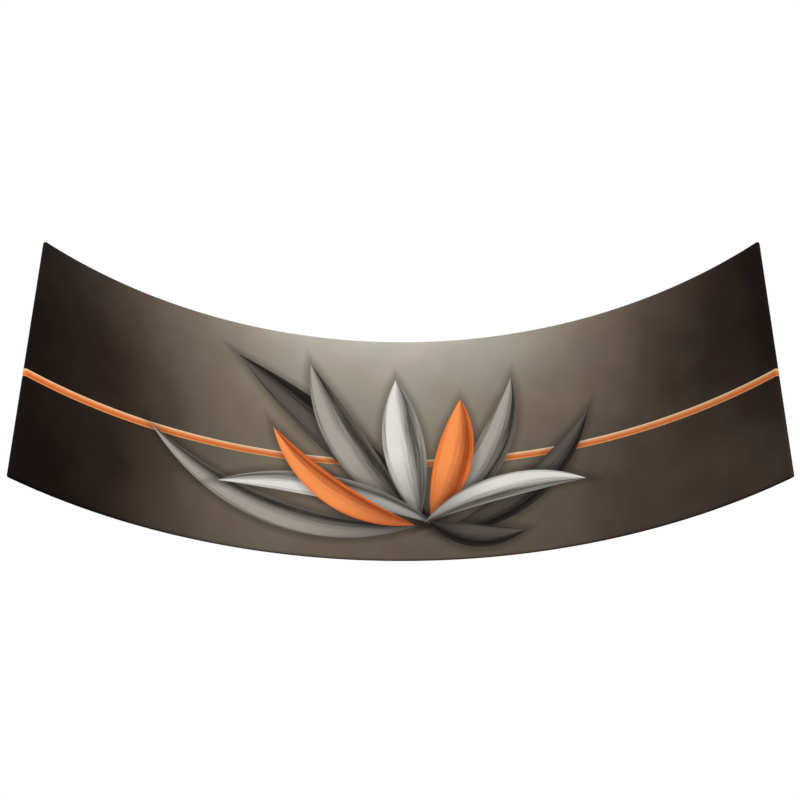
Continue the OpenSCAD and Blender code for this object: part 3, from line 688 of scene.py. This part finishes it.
zip_z, zip_half, zip_split = 0.062, 0.017, 0.0005
tape_t, tape_out, tape_dip = 0.0009, cover_r + 0.001, 0.0003

tape_weave, wire = new_finish("zip_tape_weave")
cloth = wire.node("UVMap")
u, v, _ = cloth.split()
ribs = (wire.math("SINE", (u + abs(v)) * (2 * math.pi / 0.0012)) * 0.5
        + wire.math("SINE", v * (2 * math.pi / 0.0016)) * 0.5) * 0.5 + 0.5
# The tape's colour follows its ribs, darker where they are low and lighter where they are high:
# painted shade in the hollows and a painted highlight on the crests
surface(wire, ribs.mix((0.010, 0.010, 0.010), (0.030, 0.030, 0.031)), 0.74 + 0.1 * ribs, ribs,
        0.00015, Sheen_Weight=0.08, Specular_IOR_Level=0.3)

tape_columns = spaced(-window_turn, window_turn, cloth_step / arc_r)
for side, level in ((-1, "lower"), (1, "upper")):
    widths = [zip_split, 0.002, 0.003, 0.008, 0.0125, 0.0155, zip_half]
    points = [arc_point(angle, tape_out - (tape_dip if wide == zip_half else 0.0),
                        zip_z + side * wide) for angle in tape_columns for wide in widths]
    faces = grid_faces(len(tape_columns), len(widths))
    cuts = [(tape_columns[i // len(widths)] * (arc_r + cover_r),
             side * widths[i % len(widths)]) for face in faces for i in face]
    tape = sheet_piece("zip_tape_%s_weave" % level, points, faces, cuts, tape_weave)
    thicken(tape, tape_t)
    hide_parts("zip_tape_" + level)
    "front_panel_cloth" if side < 0 else "back_panel_cloth"

coil, wire = new_finish("nylon_coil")
place = wire.node("TexCoord", out="Object")
drawn = place.noise(900.0, 3.0, 0.6)
surface(wire, place.noise(40.0, 2.0).mix((0.012, 0.012, 0.012), (0.022, 0.022, 0.023)),
        drawn.step(0.3, 0.7, 0.34, 0.50), drawn, 0.00005, Specular_IOR_Level=0.5)

teeth_turn = window_turn - 0.008 / arc_r
tooth_pitch, tooth_wide = 0.0025, 0.0019
tooth_section = ((-0.5, 0.0), (-0.42, 0.60), (0.0, 1.0), (0.42, 0.60), (0.5, 0.0))
sides = len(tooth_section)
tooth_low, tooth_tall = cover_r + 0.0011, 0.0020
for side, level in ((-1, "lower"), (1, "upper")):
    points, faces = [], []
    teeth = int(2 * teeth_turn * arc_r / tooth_pitch) - 1
    for k in range(teeth):
        middle = -teeth_turn + (k + 0.75 + 0.25 * side) * tooth_pitch / arc_r
        start = len(points)
        for reach, swell in ((0.0030, 0.8), (0.0003, 1.0)):
            points += [arc_point(middle + wide * swell * tooth_wide / arc_r,
                                 tooth_low + tall * swell * tooth_tall, zip_z + side * reach)
                       for wide, tall in tooth_section]
        far = start + sides
        faces += [[start + i, start + (i + 1) % sides, far + (i + 1) % sides, far + i]
                  for i in range(sides)]
        faces += [list(range(far - 1, start - 1, -1)), list(range(far, far + sides))]
    row = add_piece("zip_coil_" + level, points, faces, coil)
    row.data.shade_flat()
    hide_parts("zip_teeth_" + level)

gunmetal, wire = new_finish("gunmetal_plate")
place = wire.node("TexCoord", out="Object")
worn = edges(wire, 0.0005) * place.noise(700.0, 4.0, 0.7).step(0.42, 0.56)
scratches = place.noise(1600.0, 4.0, 0.6)
surface(wire, worn.mix((0.16, 0.16, 0.17), (0.42, 0.40, 0.37)),
        scratches.step(0.3, 0.7, 0.22, 0.40), scratches, 0.00002, Metallic=1.0)
finish_nodes(gunmetal, ["zip_stops", "zip_slider", "zip_pull"])

# ---- Stitching ----
# Bonded polyester thread. Twin rows hold the return down on the back panel at the top and the
# sides, and hold each zip tape on the cloth.

thread, wire = new_finish("sewing_thread")
place = wire.node("TexCoord", out="Object")
twist = place.noise(2200.0, 2.0)
# The thread's colour follows its bump, darker where it is low and lighter where it is high:
# painted shade and highlight in the twist
surface(wire, twist.mix((0.018, 0.017, 0.017), (0.040, 0.039, 0.038)), 0.55 + 0.2 * twist,
        twist, 0.00005)

stitch_l, stitch_pitch, thread_r = 0.0035, 0.0050, 0.00025
side_seam_low = 0.095


def stitch_row(points, faces, start, end, out):
    """Adds the stitches of a row between two places, each the angle and height of a point."""
    wide, tall = (end[0] - start[0]) * arc_r, end[1] - start[1]
    count = int(math.hypot(wide, tall) / stitch_pitch)
    for k in range(count):
        middle = (k + 0.5) / count
        half = stitch_l / 2 / math.hypot(wide, tall)
        for share, beside, lift in ((middle - half, 0, 0), (middle, -1, 0), (middle, 0, 1.2),
                                    (middle, 1, 0), (middle, 0, -1), (middle + half, 0, 0)):
            angle = start[0] + share * (end[0] - start[0])
            height = start[1] + share * (end[1] - start[1])
            if abs(wide) > abs(tall):
                height += beside * thread_r
            else:
                angle -= beside * thread_r / arc_r
            points.append(arc_point(angle, out + lift * thread_r, height))
        first = len(points) - 6
        for a, b in ((1, 2), (2, 3), (3, 4), (4, 1)):
            faces.append([first, first + a, first + b])
            faces.append([first + 5, first + b, first + a])


points, faces = [], []
for inset in (0.0030, 0.0085):
    hem_top = cover_r + hem_rise
    outer = window_turn + inset / arc_r
    stitch_row(points, faces, (-outer, window_high + inset), (outer, window_high + inset),
               hem_top)
    for side in (-1, 1):
        stitch_row(points, faces, (side * outer, side_seam_low),
                   (side * outer, window_high + inset), hem_top)
for height in (zip_z - 0.0160, zip_z - 0.0130, zip_z + 0.0130, zip_z + 0.0160):
    stitch_row(points, faces, (-window_turn, height), (window_turn, height), tape_out)
stitching = add_piece("cover_stitching", points, faces, thread)
